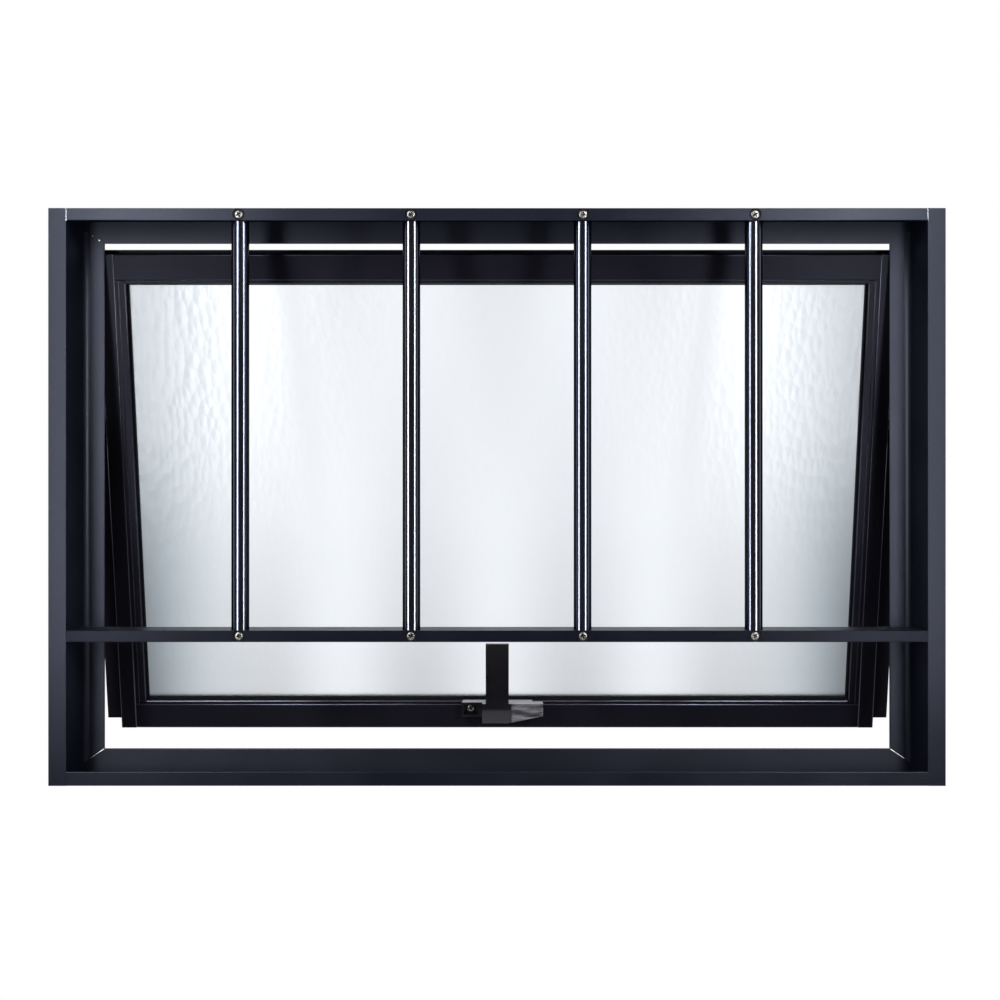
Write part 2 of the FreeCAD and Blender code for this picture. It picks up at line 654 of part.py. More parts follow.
make_rail_gasket("bottom_gasket", BOTTOM_RAIL_TOP, "1")
make_glass()
make_catch_base()
make_catch_lever()
for side in SIDES:
    make_stay(side)

doc.recompute()
for thing in doc.Objects:
    if "Invalid" in thing.State or "Error" in thing.State:
        raise RuntimeError(f"{thing.Label} failed: {thing.State}")
for body in bodies:
    if body.Shape.isNull() or not body.Shape.isValid():
        raise RuntimeError(f"{body.Label} has no valid shape")

os.makedirs("parts", exist_ok=True)
for body in bodies:
    body.Shape.exportStep(f"parts/{body.Label}.step")
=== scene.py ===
import json
import math

import bmesh
import bpy
from mathutils import Matrix, Vector


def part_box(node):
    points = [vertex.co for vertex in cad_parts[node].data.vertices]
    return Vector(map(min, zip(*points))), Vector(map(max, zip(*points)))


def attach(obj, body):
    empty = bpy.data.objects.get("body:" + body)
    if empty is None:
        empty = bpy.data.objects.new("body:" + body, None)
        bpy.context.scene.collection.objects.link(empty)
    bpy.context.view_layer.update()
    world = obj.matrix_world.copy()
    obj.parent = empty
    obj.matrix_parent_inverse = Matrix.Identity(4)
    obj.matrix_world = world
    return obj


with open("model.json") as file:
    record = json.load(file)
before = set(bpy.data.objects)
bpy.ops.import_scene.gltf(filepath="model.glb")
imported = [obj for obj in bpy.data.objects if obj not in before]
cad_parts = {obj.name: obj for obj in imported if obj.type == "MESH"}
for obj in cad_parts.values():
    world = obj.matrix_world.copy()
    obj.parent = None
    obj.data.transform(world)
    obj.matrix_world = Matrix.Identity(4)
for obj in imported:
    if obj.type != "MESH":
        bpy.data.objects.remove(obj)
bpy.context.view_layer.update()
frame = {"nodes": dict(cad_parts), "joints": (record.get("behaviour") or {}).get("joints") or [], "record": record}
nodes = frame["nodes"]
scene = bpy.context.scene

MM = 0.001
ROOT = "window"
SIDES = (("left", -1), ("right", 1))
ROOM_FRONT = Vector((0, -1, 0))
FRONT_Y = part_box("left_jamb")[0].y
CENTRE_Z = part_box("left_jamb")[1].z / 2
BAR_COUNT = 4
BAR_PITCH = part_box("grille_bar_2")[0].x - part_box("grille_bar_1")[0].x
# The catch turns about the sash's own normal, which points outdoors
SASH_AXIS = Vector(frame["joints"][0]["axis"]).normalized()
SASH_FRONT = -SASH_AXIS
SASH_UP = Vector((0, -SASH_AXIS.z, SASH_AXIS.y))
# The head's lip, the sash's origin and the catch, as the solids have them
HEAD_LIP = 11.0 * MM
SASH_ORIGIN = Vector((0, 17.7, 483.7)) * MM
CATCH_SCREW_X = 26.2 * MM
CATCH_SCREW_UP = -443.5 * MM
CATCH_FLOOR = 3.5 * MM
CATCH_TOP = 56 * MM
CATCH_MIDDLE = 47 * MM
NOSE_START = 12.5 * MM


def new_material(name):
    """A material with its node tree and its shader."""
    material = bpy.data.materials.new(name)
    material.use_nodes = True
    tree = material.node_tree
    shader = tree.nodes["Principled BSDF"]
    return material, tree, shader


def add_node(tree, kind, **settings):
    """A node with some of its settings."""
    node = tree.nodes.new(kind)
    for key, setting in settings.items():
        setattr(node, key, setting)
    return node


def own_place(tree):
    """The object's own coordinates in metres, a socket for each axis."""
    place = add_node(tree, "ShaderNodeTexCoord")
    split = add_node(tree, "ShaderNodeSeparateXYZ")
    tree.links.new(place.outputs["Object"], split.inputs["Vector"])
    return split.outputs


def scaled_place(tree, stretch):
    """The object's own coordinates as a vector, scaled along each axis."""
    place = add_node(tree, "ShaderNodeTexCoord")
    mapping = add_node(tree, "ShaderNodeMapping")
    mapping.inputs["Scale"].default_value = stretch
    tree.links.new(place.outputs["Object"], mapping.inputs["Vector"])
    return mapping.outputs["Vector"]


def noise(tree, scale, detail=3.0, stretch=(1, 1, 1)):
    """A noise over the object's own coordinates."""
    texture = add_node(tree, "ShaderNodeTexNoise")
    texture.inputs["Scale"].default_value = scale
    texture.inputs["Detail"].default_value = detail
    tree.links.new(scaled_place(tree, stretch), texture.inputs["Vector"])
    return texture.outputs["Fac"]


# A noise seldom leaves this part of its range
NOISE_LOW = 0.3
NOISE_HIGH = 0.7


def ramp(tree, source, low, high):
    """Spread a noise between two colours."""
    mix = add_node(tree, "ShaderNodeValToRGB")
    first, last = mix.color_ramp.elements
    first.position = NOISE_LOW
    last.position = NOISE_HIGH
    first.color = (*low, 1)
    last.color = (*high, 1)
    tree.links.new(source, mix.inputs["Fac"])
    return mix.outputs["Color"]


def spread(tree, source, low, high):
    """Spread a noise between two numbers."""
    span = add_node(tree, "ShaderNodeMapRange")
    span.inputs["From Min"].default_value = NOISE_LOW
    span.inputs["From Max"].default_value = NOISE_HIGH
    span.inputs["To Min"].default_value = low
    span.inputs["To Max"].default_value = high
    tree.links.new(source, span.inputs["Value"])
    return span.outputs["Result"]


def blend(tree, factor, first, second):
    """A colour between two others."""
    mix = add_node(tree, "ShaderNodeMix", data_type="RGBA")
    tree.links.new(factor, mix.inputs["Factor"])
    mix.inputs["A"].default_value = first
    mix.inputs["B"].default_value = second
    return mix.outputs["Result"]


def bump(tree, shader, height, strength, distance):
    """A fine relief on a shader."""
    node = add_node(tree, "ShaderNodeBump")
    node.inputs["Strength"].default_value = strength
    node.inputs["Distance"].default_value = distance
    tree.links.new(height, node.inputs["Height"])
    tree.links.new(node.outputs["Normal"], shader.inputs["Normal"])


def calculate(tree, operation, *terms):
    """A maths node over sockets and plain numbers."""
    node = add_node(tree, "ShaderNodeMath", operation=operation)
    for socket, term in zip(node.inputs, terms):
        if isinstance(term, (int, float)):
            socket.default_value = term
        else:
            tree.links.new(term, socket)
    return node.outputs["Value"]


def ease(tree, source, start, end):
    """A smooth 0 to 1 rise of a socket between two of its values."""
    span = add_node(tree, "ShaderNodeMapRange", interpolation_type="SMOOTHSTEP")
    span.inputs["From Min"].default_value = start
    span.inputs["From Max"].default_value = end
    tree.links.new(source, span.inputs["Value"])
    return span.outputs["Result"]


def surface_mix(tree, factor, first, second):
    """Put a mix of two shaders on a material's surface."""
    mix = add_node(tree, "ShaderNodeMixShader")
    tree.links.new(factor, mix.inputs["Fac"])
    tree.links.new(first, mix.inputs[1])
    tree.links.new(second, mix.inputs[2])
    tree.links.new(mix.outputs["Shader"], tree.nodes["Material Output"].inputs["Surface"])


# Where a mask rises and falls, as shares of facing the front
SIDE_SHARES = (0.15, 0.40)
FACE_SHARES = (0.985, 0.90)
TUBE_SHARES = (0.55, 0.85)


def lean(tree, direction):
    """How far a surface of the piece at rest looks along a direction, from -1 to 1."""
    place = add_node(tree, "ShaderNodeTexCoord")
    dot = add_node(tree, "ShaderNodeVectorMath", operation="DOT_PRODUCT")
    tree.links.new(place.outputs["Normal"], dot.inputs[0])
    dot.inputs[1].default_value = direction
    return dot.outputs["Value"]


def facing(tree, front):
    """0 on a piece's sides, 1 on its front and its back."""
    return calculate(tree, "ABSOLUTE", lean(tree, front))


def edge_mask(tree, front):
    """1 on the rounds between a piece's front face and its sides, 0 on its flat faces."""
    share = facing(tree, front)
    off_sides = ease(tree, share, *SIDE_SHARES)
    off_faces = ease(tree, share, *FACE_SHARES)
    return calculate(tree, "MULTIPLY", off_sides, off_faces)


def tube_mask(tree, front):
    """1 along a tube's front and back, 0 towards its outline."""
    return ease(tree, facing(tree, front), *TUBE_SHARES)


COAT_TINT = (0.74, 0.80, 1.0, 1)
COAT_ROUGHNESS = 0.6
CLOUD_SCALE = 14.0
PEEL_SCALE = 900.0
PEEL_DEPTH = 0.4 * MM
PEEL_STRENGTH = 0.08


def powder_coat(name, low, high, smooth, rough, shine, edge, mask, front, peel):
    """Baked powder coat: cloudy blue-black, a sheen with more of it on a mask, a fine orange peel."""
    material, tree, shader = new_material(name)
    cloud = noise(tree, CLOUD_SCALE, 1.0)
    tree.links.new(ramp(tree, cloud, low, high), shader.inputs["Base Color"])
    shader.inputs["Roughness"].default_value = COAT_ROUGHNESS
    shader.inputs["Specular IOR Level"].default_value = 0.0
    sheen = add_node(tree, "ShaderNodeBsdfGlossy")
    sheen.inputs["Color"].default_value = COAT_TINT
    tree.links.new(spread(tree, cloud, smooth, rough), sheen.inputs["Roughness"])
    if peel:
        bump(tree, sheen, noise(tree, PEEL_SCALE, 1.0), PEEL_STRENGTH, PEEL_DEPTH)
    factor = calculate(tree, "MULTIPLY_ADD", mask(tree, front), edge, shine)
    surface_mix(tree, factor, shader.outputs["BSDF"], sheen.outputs["BSDF"])
    return material


BAR_ROUGHNESS = (0.32, 0.38)
BAR_SPECULAR = 0.05


def bar_coat(name, low, high):
    """A satin coat that mirrors at a flat angle."""
    material, tree, shader = new_material(name)
    cloud = noise(tree, CLOUD_SCALE)
    tree.links.new(ramp(tree, cloud, low, high), shader.inputs["Base Color"])
    tree.links.new(spread(tree, cloud, *BAR_ROUGHNESS), shader.inputs["Roughness"])
    shader.inputs["Specular IOR Level"].default_value = BAR_SPECULAR
    shader.inputs["Specular Tint"].default_value = COAT_TINT
    return material


# How much painted light the casting gets, and the lengths over which it fades out
EDGE_HIGHLIGHT = 0.55
TOP_LIGHT = 0.50
TOP_SHARES = (0.75, 0.95)
TOP_FADE = 4 * MM
MIDDLE_FADE = 2 * MM
NOSE_REFLECTION = (0.03, 0.40)
NOSE_FADE = 3 * MM
BOSS_LIGHTENING = 0.06
BOSS_FADE = 4 * MM
STREAK_SCALE = 120.0
STREAK_STRETCH = (0.5, 1, 3)
CASTING_DARK = (0.0040, 0.0038, 0.0056, 1)
# The light grey of the catch's painted highlights and painted light
CASTING_PAINTED_LIGHT_GREY = (0.42, 0.42, 0.46, 1)
CASTING_SCALE = 60.0
CASTING_ROUGHNESS = (0.26, 0.36)
CASTING_SPECULAR = 0.25


def casting_painted_light(tree, nose):
    """How much painted light lies on the catch: a painted highlight on its edges and painted light on its top
    faces, in a band below its top, and for the lever also a painted reflection in streaks on its nose and a
    lighter tone below its middle, on the boss.
    """
    place = own_place(tree)
    # Painted highlight along the rounds between the front and the sides
    edges = calculate(tree, "MULTIPLY", edge_mask(tree, SASH_FRONT), EDGE_HIGHLIGHT)
    # Painted light on the faces that look up the sash
    top = calculate(tree, "MULTIPLY", ease(tree, lean(tree, SASH_UP), *TOP_SHARES), TOP_LIGHT)
    # The painted highlight and painted light only in a band just below the catch's top
    below = ease(tree, place["Z"], CATCH_TOP + TOP_FADE, CATCH_TOP)
    above = ease(tree, place["Z"], CATCH_MIDDLE, CATCH_MIDDLE + MIDDLE_FADE)
    band = calculate(tree, "MULTIPLY", below, above)
    painted_light = calculate(tree, "MULTIPLY", calculate(tree, "MAXIMUM", edges, top), band)
    if not nose:
        return painted_light
    # Painted reflection in streaks on the lever's nose
    streaks = spread(tree, noise(tree, STREAK_SCALE, 2.0, STREAK_STRETCH), *NOSE_REFLECTION)
    on_nose = ease(tree, place["X"], NOSE_START, NOSE_START + NOSE_FADE)
    patch = calculate(tree, "MULTIPLY", on_nose, streaks)
    # Lighter below the lever's middle, on its boss
    on_boss = ease(tree, place["Z"], CATCH_MIDDLE + BOSS_FADE, CATCH_MIDDLE)
    boss = calculate(tree, "MULTIPLY", on_boss, BOSS_LIGHTENING)
    return calculate(tree, "MAXIMUM", painted_light, calculate(tree, "MAXIMUM", patch, boss))


def casting_with_painted_light(name, nose):
    """Cast catch: a dark coat, lightened to grey in places by painted light."""
    material, tree, shader = new_material(name)
    # The dark coat blends to light grey where the painted light lies
    colour = blend(tree, casting_painted_light(tree, nose), CASTING_DARK, CASTING_PAINTED_LIGHT_GREY)
    tree.links.new(colour, shader.inputs["Base Color"])
    cloud = noise(tree, CASTING_SCALE, 1.0)
    tree.links.new(spread(tree, cloud, *CASTING_ROUGHNESS), shader.inputs["Roughness"])
    shader.inputs["Specular IOR Level"].default_value = CASTING_SPECULAR
    return material


RUBBER_LOW = (0.002, 0.002, 0.002)
RUBBER_HIGH = (0.005, 0.005, 0.006)
RUBBER_SCALE = 600.0
RUBBER_ROUGHNESS = 0.75
RUBBER_SPECULAR = 0.1
RUBBER_RELIEF = 0.2
RUBBER_DEPTH = 0.3 * MM


def rubber(name):
    """Matt black rubber with a fine grain."""
    material, tree, shader = new_material(name)
    grain = noise(tree, RUBBER_SCALE)
    tree.links.new(ramp(tree, grain, RUBBER_LOW, RUBBER_HIGH), shader.inputs["Base Color"])
    shader.inputs["Roughness"].default_value = RUBBER_ROUGHNESS
    shader.inputs["Specular IOR Level"].default_value = RUBBER_SPECULAR
    bump(tree, shader, grain, RUBBER_RELIEF, RUBBER_DEPTH)
    return material


BRUSH_SCALE = 60.0
BRUSH_DETAIL = 4.0
BRUSH_ROUGHNESS = (0.25, 0.42)
BRUSH_RELIEF = 0.08
BRUSH_DEPTH = 0.2 * MM


def brushed_metal(name, low, high, stretch):
    """Bare metal with brush marks."""
    material, tree, shader = new_material(name)
    brush = noise(tree, BRUSH_SCALE, BRUSH_DETAIL, stretch)
    tree.links.new(ramp(tree, brush, low, high), shader.inputs["Base Color"])
    tree.links.new(spread(tree, brush, *BRUSH_ROUGHNESS), shader.inputs["Roughness"])
    shader.inputs["Metallic"].default_value = 1.0
    bump(tree, shader, brush, BRUSH_RELIEF, BRUSH_DEPTH)
    return material


# The pane's painted shade, for the uneven light that comes through it: towards its sides and its foot, and in
# waves, between the bars above, behind them below; bluer at the sides
GLASS_CLEAR = 0.92
GLASS_SIDE_SHADE = 0.57
GLASS_SIDE_START = 0.64
GLASS_FOOT_SHADE = 0.09
GLASS_FOOT_START = 0.26
GLASS_WAVE_RISE = 0.42
GLASS_WAVE_BASE = -0.147
GLASS_MIDDLE_TINT = (0.925, 0.960, 1.0, 1)
GLASS_SIDE_SHADE_TINT = (0.800, 0.910, 1.0, 1)
GLASS_ROUGHNESS = 0.31
GLASS_IOR = 1.45
GLASS_SPECULAR = 0.25
PATTERN_SCALE = 150.0
PATTERN_STRETCH = (1.0, 0.5, 0.5)
PATTERN_RELIEF = 0.30
PATTERN_DEPTH = 1.0 * MM


def patterned_glass(name):
    """Obscure glass with a fine rolled pattern, with painted shade towards its sides and foot and in waves at the
    bars.
    """
    material, tree, shader = new_material(name)
    low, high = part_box("glass_pane")
    place = own_place(tree)
    # Painted shade towards the pane's sides and its foot
    side = ease(tree, calculate(tree, "ABSOLUTE", place["X"]), GLASS_SIDE_START * high.x, high.x)
    foot = ease(tree, place["Z"], GLASS_FOOT_START, low.z)
    foot_shade = calculate(tree, "MULTIPLY", foot, GLASS_FOOT_SHADE)
    shade = calculate(tree, "MULTIPLY_ADD", side, GLASS_SIDE_SHADE, foot_shade)
    # Painted shade in waves at the bars' pitch, between the bars above, behind them below
    wave = calculate(tree, "COSINE", calculate(tree, "MULTIPLY", place["X"], 2 * math.pi / BAR_PITCH))
    rise = calculate(tree, "MULTIPLY_ADD", place["Z"], GLASS_WAVE_RISE, GLASS_WAVE_BASE)
    shade = calculate(tree, "MULTIPLY_ADD", wave, rise, shade)
    tint = add_node(tree, "ShaderNodeMix", data_type="RGBA", blend_type="MULTIPLY")
    tint.inputs["Factor"].default_value = 1.0
    tree.links.new(blend(tree, side, GLASS_MIDDLE_TINT, GLASS_SIDE_SHADE_TINT), tint.inputs["A"])
    tree.links.new(calculate(tree, "SUBTRACT", GLASS_CLEAR, shade), tint.inputs["B"])
    tree.links.new(tint.outputs["Result"], shader.inputs["Base Color"])
    shader.inputs["Roughness"].default_value = GLASS_ROUGHNESS
    shader.inputs["Transmission Weight"].default_value = 1.0
    shader.inputs["IOR"].default_value = GLASS_IOR
    shader.inputs["Specular IOR Level"].default_value = GLASS_SPECULAR
    cells = add_node(tree, "ShaderNodeTexVoronoi", feature="F1")
    cells.inputs["Scale"].default_value = PATTERN_SCALE
    tree.links.new(scaled_place(tree, PATTERN_STRETCH), cells.inputs["Vector"])
    bump(tree, shader, cells.outputs["Distance"], PATTERN_RELIEF, PATTERN_DEPTH)
    return material


frame_coat = powder_coat("frame_coat", low=(0.0024, 0.0028, 0.0056), high=(0.0036, 0.0042, 0.0076),
                         smooth=0.36, rough=0.42, shine=0.0125, edge=0.010,
                         mask=edge_mask, front=ROOM_FRONT, peel=True)
stop_coat = powder_coat("stop_coat", low=(0.0034, 0.0038, 0.0066), high=(0.0046, 0.0052, 0.0086),
                        smooth=0.44, rough=0.50, shine=0.018, edge=0.014,
                        mask=edge_mask, front=ROOM_FRONT, peel=True)
sash_coat = powder_coat("sash_coat", low=(0.0042, 0.0040, 0.0066), high=(0.0058, 0.0056, 0.0086),
                        smooth=0.28, rough=0.34, shine=0.0018, edge=0.070,
                        mask=edge_mask, front=SASH_FRONT, peel=True)
tube_coat = powder_coat("tube_coat", low=(0.0006, 0.0006, 0.0018), high=(0.0012, 0.0012, 0.0026),
                        smooth=0.14, rough=0.17, shine=0.015, edge=0.100,
                        mask=tube_mask, front=ROOM_FRONT, peel=False)
catch_coat = casting_with_painted_light("catch_metal", nose=False)
lever_coat = casting_with_painted_light("catch_lever_metal", nose=True)
crossbar_coat = bar_coat("crossbar_coat", low=(0.0028, 0.0031, 0.0058), high=(0.0040, 0.0046, 0.0078))
gasket_rubber = rubber("gasket_rubber")
steel = brushed_metal("stay_steel", low=(0.25, 0.25, 0.26), high=(0.40, 0.40, 0.41), stretch=(1, 1, 30))
screw_steel = brushed_metal("screw_steel", low=(0.07, 0.07, 0.07), high=(0.24, 0.23, 0.22),
                            stretch=(4, 4, 4))
bare_aluminium = brushed_metal("bare_aluminium", low=(0.72, 0.73, 0.75), high=(0.90, 0.91, 0.92),
                               stretch=(6, 6, 6))
glass = patterned_glass("patterned_glass")

SLOT_MATERIALS = {
    "frame_coat": frame_coat,
    "sash_coat": sash_coat,
    "grille_coat": tube_coat,
    "catch_metal": catch_coat,
    "gasket_rubber": gasket_rubber,
    "stay_steel": steel,
    "patterned_glass": glass,
}
STOPS = ["left_stop", "right_stop", "head_stop", "sill_stop"]


def dress_cad_nodes():
    """Give every CAD node the finish of its slot, and some of them a finish of their own."""
    for part in frame["record"]["subparts"]:
        mesh = nodes[part["node"]].data
        mesh.materials.clear()
        mesh.materials.append(SLOT_MATERIALS[part["material_slot"]])
    nodes["grille_crossbar"].data.materials[0] = crossbar_coat
    nodes["catch_lever"].data.materials[0] = lever_coat
    for name in STOPS:
        nodes[name].data.materials[0] = stop_coat


EDGED_NODES = ["head", *STOPS, "top_rail", "bottom_rail", "left_stile", "right_stile",
               "left_bead", "right_bead", "top_bead", "bottom_bead", "catch_base", "catch_lever"]
EDGE_WIDTH = 0.35 * MM
EDGE_SEGMENTS = 2
EDGE_ANGLE = math.radians(40)
WELD_REACH = 0.001 * MM


def weld(name):
    """Join the faces of a CAD node along their shared edges, for the modifier that follows."""
    joined = nodes[name].modifiers.new("weld", "WELD")
    joined.merge_threshold = WELD_REACH


def soften_edges():
    """A fine coated radius on the edges that the solids leave sharp."""
    for name in EDGED_NODES:
        weld(name)
        bevel = nodes[name].modifiers.new("edge", "BEVEL")
        bevel.width = EDGE_WIDTH
        bevel.segments = EDGE_SEGMENTS
        bevel.limit_method = "ANGLE"
        bevel.angle_limit = EDGE_ANGLE
        bevel.harden_normals = True


def mesh_from(shape, name):
    """The mesh of a finished shape."""
    mesh = bpy.data.meshes.new(name)
    shape.to_mesh(mesh)
    shape.free()
    return mesh


def add_piece(name, mesh, material, body):
    """A visual piece that rides a body and stands in a material slot."""
    piece = bpy.data.objects.new(name, mesh)
    scene.collection.objects.link(piece)
    mesh.materials.append(material)
    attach(piece, body)


SCREW_RADIUS = 3.8 * MM
SCREW_RISE = 1.3 * MM
SCREW_RINGS = 14
SCREW_SPOKES = 48
CROWN_POWER = 4
RECESS_ARM = 2.2 * MM
RECESS_HALF = 0.6 * MM
RECESS_DEPTH = 1.1 * MM
SEAT_LEVEL = 0.01 * MM
# A black rubber ring under each screw head: a dark piece put in as painted shadow round the head
SHADOW_RING_BORE = 0.6 * SCREW_RADIUS
SHADOW_RING_RADIUS = 5.1 * MM
SHADOW_RING_RISE = 0.5 * MM
SHADOW_RING_ROUND = 0.2 * MM
SINK_MOUTH = 5.35 * MM
SINK_FLOOR = 5.2 * MM
# Where the first recess of a row starts and its step from screw to screw, in radians
ROW_TURNS = {"head": (0, 0.5), "grille_crossbar": (1, 0.8)}
CATCH_TURNS = {"left": 0.4, "right": 1.1}


def add_ring(shape, radius, height):
    """A ring of vertices about the Z axis."""
    ring = []
    for spoke in range(SCREW_SPOKES):
        angle = 2 * math.pi * spoke / SCREW_SPOKES
        ring.append(shape.verts.new((radius * math.cos(angle), radius * math.sin(angle), height)))
    return ring


def join_rings(shape, inner, outer):
    """A band of faces between two rings."""
    for spoke in range(SCREW_SPOKES):
        following = (spoke + 1) % SCREW_SPOKES
        shape.faces.new((inner[spoke], outer[spoke], outer[following], inner[following]))


def in_recess(place):
    """Whether a place on a screw head is within the cross of its recess."""
    short, far = sorted((abs(place.x), abs(place.y)))
    return short < RECESS_HALF and far < RECESS_ARM


def screw_head_mesh(name):
    """A pan head whose cross recess is painted black as its shade, its seat at the origin and its crown along +Z.
    """
    shape = bmesh.new()
    rings = []
    for number in range(1, SCREW_RINGS + 1):
        share = number / SCREW_RINGS
        ring = add_ring(shape, SCREW_RADIUS * share, SCREW_RISE * (1 - share ** CROWN_POWER) ** 0.5)
        for vertex in ring:
            vertex.co.z -= RECESS_DEPTH if in_recess(vertex.co) else 0
        rings.append(ring)
    middle = shape.verts.new((0, 0, SCREW_RISE - RECESS_DEPTH))
    for spoke in range(SCREW_SPOKES):
        shape.faces.new((middle, rings[0][spoke], rings[0][(spoke + 1) % SCREW_SPOKES]))
    for inner, outer in zip(rings, rings[1:]):
        join_rings(shape, inner, outer)
    shape.faces.new(list(reversed(rings[-1])))
    mesh = mesh_from(shape, name)
    for face in mesh.polygons:
        face.use_smooth = True
        # The recess's faces take the second slot, black rubber: painted shade in the recess
        if in_recess(face.center) and face.center.z > SEAT_LEVEL:
            face.material_index = 1
    return mesh


def shadow_ring_mesh(name):
    """A soft black ring with a rounded rim, put under a screw head as painted shadow, its seat at the origin."""
    profile = [(SHADOW_RING_BORE, 0), (SHADOW_RING_BORE, SHADOW_RING_RISE), (SHADOW_RING_RADIUS - SHADOW_RING_ROUND, SHADOW_RING_RISE),
               (SHADOW_RING_RADIUS, SHADOW_RING_RISE - SHADOW_RING_ROUND), (SHADOW_RING_RADIUS, 0)]
    shape = bmesh.new()
    rings = [add_ring(shape, radius, height) for radius, height in profile]
    for inner, outer in zip(rings, rings[1:] + rings[:1]):
        join_rings(shape, inner, outer)
    bmesh.ops.recalc_face_normals(shape, faces=shape.faces)
    return mesh_from(shape, name)


def add_screw(name, seat, outward, turn):
    """A screw head on a black ring of painted shadow, turned about its own axis."""
    upright = Vector((0, 0, 1)).rotation_difference(outward).to_matrix().to_4x4()
    place = Matrix.Translation(seat) @ upright @ Matrix.Rotation(turn, 4, "Z")
    # The black ring under the head is painted shadow round the screw
    shadow_ring = shadow_ring_mesh(f"{name}_washer")
    shadow_ring.transform(place)
    add_piece(f"{name}_washer", shadow_ring, gasket_rubber, ROOT)
    head = screw_head_mesh(name)
    head.transform(place)
    add_piece(name, head, screw_steel, ROOT)
    # The second slot, black rubber, paints the shade in the recess
    head.materials.append(gasket_rubber)


def sink_screws(node, seats):
    """Cut a shallow dimple for each screw into a node's front face."""
    shape = bmesh.new()
    for seat in seats:
        place = Matrix.Translation(seat + SCREW_RISE * ROOM_FRONT) @ Matrix.Rotation(math.pi / 2, 4, "X")
        bmesh.ops.create_cone(shape, cap_ends=True, segments=SCREW_SPOKES, radius1=SINK_FLOOR,
                              radius2=2 * SINK_MOUTH - SINK_FLOOR, depth=2 * SCREW_RISE, matrix=place)
    cutter = bpy.data.objects.new(f"{node}_dimples", mesh_from(shape, f"{node}_dimples"))
    scene.collection.objects.link(cutter)
    cutter.hide_render = True
    cutter.hide_viewport = True
    weld(node)
    dimple = nodes[node].modifiers.new("dimples", "BOOLEAN")
    dimple.operation = "DIFFERENCE"
    dimple.solver = "EXACT"
    dimple.object = cutter


def add_grille_screws():
    """A row of screws through the head's lip and one through the crossbar, at the bars."""
    for node, (start, step) in ROW_TURNS.items():
        low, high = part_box(node)
        if node == "head":
            middle = high.z - HEAD_LIP / 2
        else:
            middle = (low.z + high.z) / 2
        seats = []
        for number in range(1, BAR_COUNT + 1):
            bar_low, bar_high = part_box(f"grille_bar_{number}")
            seat = Vector(((bar_low.x + bar_high.x) / 2, low.y + SCREW_RISE, middle))
            add_screw(f"{node}_screw_{number}", seat, ROOM_FRONT, start + step * number)
            seats.append(seat)
        sink_screws(node, seats)


def on_sash(x, proud, up):
    """A point on the sash: its place sideways, its height over the front face, its place up the sash."""
    return SASH_ORIGIN + Vector((x, 0, 0)) + SASH_FRONT * proud + SASH_UP * up


def add_catch_screws():
    """A screw in each pocket of the catch's base."""
    for tag, side in SIDES:
        seat = on_sash(side * CATCH_SCREW_X, CATCH_FLOOR, CATCH_SCREW_UP)
        add_screw(f"catch_screw_{tag}", seat, SASH_FRONT, CATCH_TURNS[tag])


# Bare metal in the joints; what lies on a mitre is a share of the way to the frame's corner
SLIVER_RISE = 0.1 * MM
SLIVER_GAP = 0.01 * MM
SLIVER_TAPER = 0.1
JOINT_SHIFT = 0.1 * MM
JOINT_DEPTH = 0.30 * MM
JOINT_DROP = 0.4 * MM
JOINT_WIDTH = 1.0 * MM
MITRE_WIDTH = 0.5 * MM
FOOT_MITRE_END = 0.40
TOP_MITRE_SPOTS = ((0.12, 0.16), (0.30, 0.33), (0.47, 0.53))


def add_sliver(name, start, end, width):
    """A thin strip of bare metal with pointed ends, in a joint that faces the room."""
    along = end - start
    across = along.normalized().cross(-ROOM_FRONT) * width / 2
    near = start + along * SLIVER_TAPER
    far = start + along * (1 - SLIVER_TAPER)
    outline = [start, near + across, far + across, end, far - across, near - across]
    shape = bmesh.new()
    front = [shape.verts.new(corner + SLIVER_RISE * ROOM_FRONT) for corner in outline]
    back = [shape.verts.new(corner) for corner in outline]
    shape.faces.new(front)
    shape.faces.new(list(reversed(back)))
    for number in range(len(outline)):
        shape.faces.new((front[number - 1], front[number], back[number], back[number - 1]))
    bmesh.ops.recalc_face_normals(shape, faces=shape.faces)
    add_piece(name, mesh_from(shape, name), bare_aluminium, ROOT)


def add_slivers():
    """Bare metal where the coat is broken: the head's butt joints and the stops' mitres."""
    frame_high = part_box("right_jamb")[1]
    head_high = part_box("head")[1]
    inner_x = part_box("right_stop")[0].x
    top_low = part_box("head_stop")[0]
    foot_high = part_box("sill_stop")[1]
    face = top_low.y - SLIVER_GAP
    for tag, side in SIDES:
        joint_x = side * (head_high.x + JOINT_SHIFT)
        joint_foot = Vector((joint_x, FRONT_Y + JOINT_DEPTH, head_high.z - HEAD_LIP))
        joint_top = Vector((joint_x, FRONT_Y + JOINT_DEPTH, head_high.z - JOINT_DROP))
        add_sliver(f"{tag}_head_joint", joint_foot, joint_top, JOINT_WIDTH)
        foot = Vector((side * inner_x, face, foot_high.z))
        foot_corner = Vector((side * frame_high.x, face, 0))
        add_sliver(f"{tag}_foot_mitre", foot, foot.lerp(foot_corner, FOOT_MITRE_END), MITRE_WIDTH)
    top = Vector((-inner_x, face, top_low.z))
    top_corner = Vector((-frame_high.x, face, frame_high.z))
    for number, (begin, finish) in enumerate(TOP_MITRE_SPOTS, 1):
        start = top.lerp(top_corner, begin)
        end = top.lerp(top_corner, finish)
        add_sliver(f"left_top_mitre_{number}", start, end, MITRE_WIDTH)


WORLD_LIGHT = 0.06
FLOOR_DROP = 0.60
FLOOR_REACH = 12.0
FLOOR_COLOUR = (0.85, 0.85, 0.85, 1)
FLOOR_ROUGHNESS = 0.9


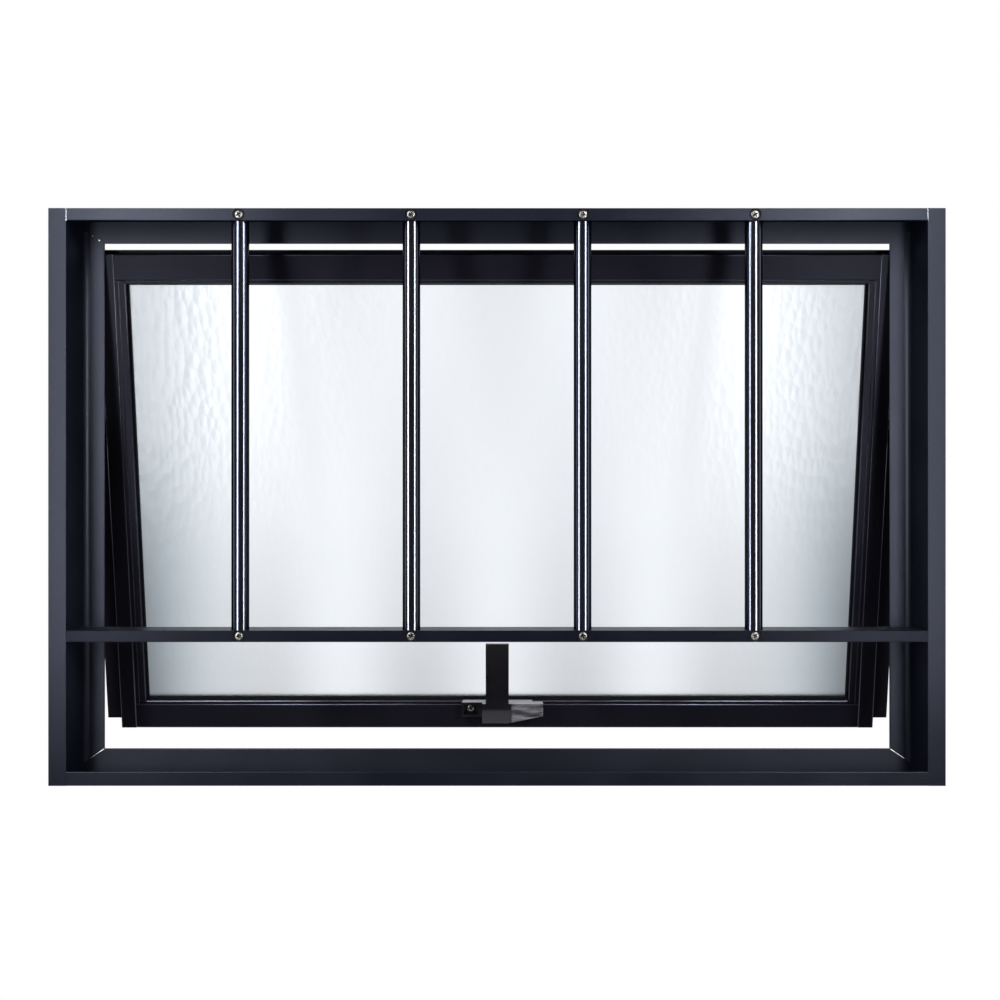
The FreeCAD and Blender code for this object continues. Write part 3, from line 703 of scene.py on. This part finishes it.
def in_sight(tree):
    """1 for what the camera sees, also through the glass, and 0 for the light on the object."""
    path = add_node(tree, "ShaderNodeLightPath")
    return calculate(tree, "MAXIMUM", path.outputs["Is Camera Ray"], path.outputs["Is Transmission Ray"])


def white_world():
    """White for the camera and through the glass; a quiet grey for the light on the object."""
    world = bpy.data.worlds.new("studio")
    scene.world = world
    world.use_nodes = True
    tree = world.node_tree
    background = tree.nodes["Background"]
    level = add_node(tree, "ShaderNodeMapRange")
    level.inputs["To Min"].default_value = WORLD_LIGHT
    level.inputs["To Max"].default_value = 1.0
    tree.links.new(in_sight(tree), level.inputs["Value"])
    background.inputs["Color"].default_value = (1, 1, 1, 1)
    tree.links.new(level.outputs["Result"], background.inputs["Strength"])


def pale_floor():
    """A plain floor well below the window, as white as the background where it is in sight."""
    mesh = bpy.data.meshes.new("floor")
    corners = [(-FLOOR_REACH, -FLOOR_REACH, -FLOOR_DROP), (FLOOR_REACH, -FLOOR_REACH, -FLOOR_DROP),
               (FLOOR_REACH, FLOOR_REACH, -FLOOR_DROP), (-FLOOR_REACH, FLOOR_REACH, -FLOOR_DROP)]
    mesh.from_pydata(corners, [], [(0, 1, 2, 3)])
    floor = bpy.data.objects.new("floor", mesh)
    scene.collection.objects.link(floor)
    material, tree, shader = new_material("floor")
    shader.inputs["Base Color"].default_value = FLOOR_COLOUR
    shader.inputs["Roughness"].default_value = FLOOR_ROUGHNESS
    glow = add_node(tree, "ShaderNodeEmission")
    surface_mix(tree, in_sight(tree), shader.outputs["BSDF"], glow.outputs["Emission"])
    mesh.materials.append(material)


def add_lamp(name, place, aim, size, power):
    """A rectangular lamp that lights the object and isn't seen itself."""
    lamp = bpy.data.lights.new(name, "AREA")
    lamp.shape = "RECTANGLE"
    lamp.size, lamp.size_y = size
    lamp.energy = power
    holder = bpy.data.objects.new(name, lamp)
    holder.visible_camera = False
    holder.visible_transmission = False
    scene.collection.objects.link(holder)
    holder.location = place
    holder.rotation_euler = (Vector(aim) - Vector(place)).to_track_quat("-Z", "Y").to_euler()


# Each strip's distance to the side and in front of the frame
STRIP_PLACES = {"left": (0.435, 0.41), "right": (0.42, 0.43)}


def light_studio():
    """Two tall strips close in front, just outside the picture, and soft light from the other sides."""
    for tag, side in SIDES:
        beside, ahead = STRIP_PLACES[tag]
        add_lamp(f"{tag}_strip", place=(side * beside, FRONT_Y - ahead, CENTRE_Z + 0.24),
                 aim=(side * 0.05, 0.02, CENTRE_Z + 0.14), size=(0.085, 0.95), power=8.6)
    for tag, side in SIDES:
        add_lamp(f"{tag}_high", place=(side * 0.75, -0.95, CENTRE_Z + 0.75),
                 aim=(side * 0.30, 0, CENTRE_Z + 0.2), size=(0.4, 0.5), power=6.0)
    centre = (0, 0, CENTRE_Z)
    for tag, side in SIDES:
        add_lamp(f"{tag}_rear", place=(side * 1.1, 1.4, CENTRE_Z + 0.35),
                 aim=centre, size=(1.2, 1.2), power=18.0)
        add_lamp(f"{tag}_side", place=(side * 1.7, 0.1, CENTRE_Z + 0.30),
                 aim=centre, size=(0.9, 1.2), power=7.0)
    add_lamp("top", place=(0, 0.25, 1.9), aim=centre, size=(1.6, 0.7), power=14.0)


# Camera, from the photograph's perspective
CAMERA_DISTANCE = 1.350
CAMERA_RIGHT = 2.7 * MM
CAMERA_DROP = 2.7 * MM
CAMERA_LENS = 54.54
CAMERA_SENSOR = 36.0


def place_camera():
    """A level camera that looks straight at the window from the room."""
    data = bpy.data.cameras.new("camera")
    data.lens = CAMERA_LENS
    data.sensor_width = CAMERA_SENSOR
    camera = bpy.data.objects.new("camera", data)
    scene.collection.objects.link(camera)
    camera.location = (CAMERA_RIGHT, FRONT_Y - CAMERA_DISTANCE, CENTRE_Z - CAMERA_DROP)
    camera.rotation_euler = (math.pi / 2, 0, 0)
    scene.camera = camera


dress_cad_nodes()
soften_edges()
add_grille_screws()
add_catch_screws()
add_slivers()
white_world()
pale_floor()
light_studio()
place_camera()
scene.view_settings.view_transform = "Standard"
